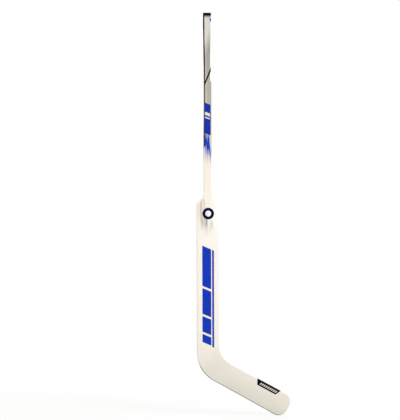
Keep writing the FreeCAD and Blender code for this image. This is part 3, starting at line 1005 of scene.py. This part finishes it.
def label_piece():
    """Film from the flat of the blade up over the rounding of its top edge, with slanted ends."""
    straight = right.marks[2][1]
    origin = blade_grid(*right.at(straight)[:2])[0]
    count = 40
    # Down the rounding by its angle, then down the face by the inset from the edge.
    places = [(math.radians(80 - 10 * k), 0.0) for k in range(8)] + [(0.0, 2.5 * k) for k in range(8)]
    rows = []
    for angle, inset in places:
        below = inset + EDGE_R * (1 - math.sin(angle))
        start, end = LABEL_START + LABEL_SLANT * below, LABEL_END - LABEL_SLANT * below
        lengths = []
        for k in range(count + 1):
            along = start + (end - start) * k / count
            lengths.append(straight + (along - origin) * math.hypot(1, FLARE))
        over = [edge_point(right, length, angle, True, inset, LABEL_LIFT) for length in lengths]
        under = [edge_point(right, length, angle, True, inset, -FILM_SUNK) for length in lengths]
        rows.append(over + under[::-1])
    bm = bmesh.new()
    tube(bm, rows)
    return new_object("label_film", bm, black, 50)


def label_marks():
    """A row of slanted hash marks on the label."""
    marks = []
    for index in range(9):
        foot = 229.0 + 8.0 * index
        mark = []
        for along, below in ((foot, 16.5), (foot + 4.6, 16.5), (foot + 8.0, 8.0), (foot + 3.4, 8.0)):
            mark.append(blade_point(along, HEEL_H + FLARE * along - below))
        marks.append(mark)
    film("label_marks", marks, pale, lift=0.22)


label = label_piece()
label_marks()

paddle_skins = ["paddle_front_skin", "paddle_back_skin", "paddle_rail_left", "paddle_rail_right"]
blade_skins = ["blade_front_skin", "blade_back_skin", "blade_top_strip", "toe_cap"]
for obj, nodes, slot in (
    (shaft_shell, ["shaft_tube"], "shaft_paint"),
    (paddle_shell, paddle_skins, "white_paint"),
    (blade_shell, blade_skins, "white_paint"),
    (sole_edge, ["blade_sole_strip"], "edge_resin"),
    (label, ["toe_label"], "label_film"),
):
    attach(obj, "stick")
    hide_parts(*nodes)
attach(plug, "plug")
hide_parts("butt_plug")

for node, material in (
    ("paddle_core_left", foam_light),
    ("paddle_core_right", foam_light),
    ("blade_core_lower", foam_light),
    ("blade_core_upper", foam_light),
    ("heel_block", foam_dense),
    ("blade_stringer", carbon),
):
    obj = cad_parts[node]
    obj.data.materials.clear()
    obj.data.materials.append(material)


# Stage: pale floor, white surroundings, soft light from the upper right.

WHITE = (1.0, 1.0, 1.0, 1.0)
FLOOR_SIZE, FLOOR_GAP = 9.0, 0.0005

# Lamps: place, target and size in metres, power in watts, colour.
LAMPS = (
    ("key", (1.8, -2.3, 1.4), (0.05, 0, -0.1), (1.4, 2.0), 61.0, (1.0, 1.0, 0.99)),
    ("fill", (-2.4, -1.2, 0.4), (0, 0, -0.1), (1.2, 2.0), 19.0, (1.0, 0.86, 0.70)),
    ("back", (0.6, 2.8, 0.8), (0, 0, -0.1), (1.6, 2.0), 34.0, (1.0, 1.0, 1.0)),
)

# Camera: rows of the picture and millimetres of the stick in each, sensor width, distance, turns and aim.
PICTURE_ROWS, ROW_HEIGHT = 420, 3.756
SENSOR, CAMERA_AWAY, CAMERA_YAW, CAMERA_ROLL = 36.0, 7.0, math.radians(4.0), 0.0027
AIM_X, AIM_Z = -0.0283, -0.0534


def wire(tree, *links):
    """Links between pairs of an output and an input."""
    for output, socket in links:
        tree.links.new(output, socket)


def floor_material():
    """Pale floor; seen directly it is white where nothing shades it, and other rays meet it as it is."""
    material = bpy.data.materials.new("floor")
    material.use_nodes = True
    tree = material.node_tree
    shader = tree.nodes["Principled BSDF"]
    shader.inputs["Base Color"].default_value = (0.82, 0.82, 0.82, 1)
    shader.inputs["Roughness"].default_value = 0.9
    shader.inputs["Specular IOR Level"].default_value = 0.0
    seen = tree.nodes.new("ShaderNodeBsdfDiffuse")
    seen.inputs["Color"].default_value = (0.25, 0.25, 0.25, 1)
    glow = tree.nodes.new("ShaderNodeEmission")
    glow.inputs["Color"].default_value = WHITE
    place = tree.nodes.new("ShaderNodeTexCoord")
    away = tree.nodes.new("ShaderNodeVectorMath")
    away.operation = "LENGTH"
    # The glow makes up for the lamps' falling light, from 0.6 m to 4 m off.
    spread = tree.nodes.new("ShaderNodeMapRange")
    for socket, number in zip(spread.inputs[1:5], (0.6, 4.0, 0.755, 0.88)):
        socket.default_value = number
    bright = tree.nodes.new("ShaderNodeAddShader")
    path = tree.nodes.new("ShaderNodeLightPath")
    join = tree.nodes.new("ShaderNodeMixShader")
    wire(
        tree,
        (place.outputs["Object"], away.inputs[0]),
        (away.outputs["Value"], spread.inputs[0]),
        (spread.outputs[0], glow.inputs["Strength"]),
        (seen.outputs[0], bright.inputs[0]),
        (glow.outputs[0], bright.inputs[1]),
        (path.outputs["Is Camera Ray"], join.inputs[0]),
        (shader.outputs[0], join.inputs[1]),
        (bright.outputs[0], join.inputs[2]),
        (join.outputs[0], tree.nodes["Material Output"].inputs["Surface"]),
    )
    return material


def add_floor():
    """Floor just under the lowest point of the stick."""
    floor_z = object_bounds()[0][2] - FLOOR_GAP
    bm = bmesh.new()
    bmesh.ops.create_grid(bm, x_segments=4, y_segments=4, size=FLOOR_SIZE)
    mesh = bpy.data.meshes.new("floor")
    bm.to_mesh(mesh)
    bm.free()
    floor = bpy.data.objects.new("floor", mesh)
    floor.location.z = floor_z
    bpy.context.scene.collection.objects.link(floor)
    mesh.materials.append(floor_material())


def add_surroundings():
    """Soft light from all round; the camera, gloss and glass see plain white."""
    world = bpy.data.worlds.new("studio")
    bpy.context.scene.world = world
    world.use_nodes = True
    tree = world.node_tree
    ambient = tree.nodes["Background"]
    ambient.inputs["Color"].default_value = WHITE
    ambient.inputs["Strength"].default_value = 0.5
    backdrop = tree.nodes.new("ShaderNodeBackground")
    backdrop.inputs["Color"].default_value = WHITE
    backdrop.inputs["Strength"].default_value = 1.0
    path = tree.nodes.new("ShaderNodeLightPath")
    either = tree.nodes.new("ShaderNodeMath")
    either.operation = "MAXIMUM"
    both = tree.nodes.new("ShaderNodeMath")
    both.operation = "MAXIMUM"
    join = tree.nodes.new("ShaderNodeMixShader")
    wire(
        tree,
        (path.outputs["Is Camera Ray"], either.inputs[0]),
        (path.outputs["Is Glossy Ray"], either.inputs[1]),
        (either.outputs[0], both.inputs[0]),
        (path.outputs["Is Transmission Ray"], both.inputs[1]),
        (both.outputs[0], join.inputs[0]),
        (ambient.outputs[0], join.inputs[1]),
        (backdrop.outputs[0], join.inputs[2]),
        (join.outputs[0], tree.nodes["World Output"].inputs["Surface"]),
    )


def add_lamps():
    """Area lamps, each turned to its target."""
    for name, place, target, size, power, colour in LAMPS:
        lamp = bpy.data.lights.new(name, "AREA")
        lamp.shape = "RECTANGLE"
        lamp.size, lamp.size_y = size
        lamp.energy = power
        lamp.color = colour
        obj = bpy.data.objects.new(name, lamp)
        obj.location = place
        aim = [b - a for a, b in zip(place, target)]
        flat = math.hypot(aim[0], aim[1])
        obj.rotation_euler = (math.atan2(flat, -aim[2]), 0, math.atan2(-aim[0], aim[1]))
        bpy.context.scene.collection.objects.link(obj)


def add_camera():
    """Camera level with the middle of the stick and a little to its heel side."""
    lens = bpy.data.cameras.new("camera")
    frame_height = PICTURE_ROWS * ROW_HEIGHT * MM
    lens.sensor_width = SENSOR
    lens.lens = SENSOR * (CAMERA_AWAY - SHAFT_D / 2 * MM) / frame_height
    lens.clip_end = 60
    camera = bpy.data.objects.new("camera", lens)
    sideways, back = CAMERA_AWAY * math.sin(CAMERA_YAW), CAMERA_AWAY * math.cos(CAMERA_YAW)
    camera.location = (AIM_X - sideways, -back, AIM_Z)
    camera.rotation_euler = (math.pi / 2, CAMERA_ROLL, -CAMERA_YAW)
    bpy.context.scene.collection.objects.link(camera)
    bpy.context.scene.camera = camera
    bpy.context.scene.view_settings.view_transform = "Standard"


add_floor()
add_surroundings()
add_lamps()
add_camera()
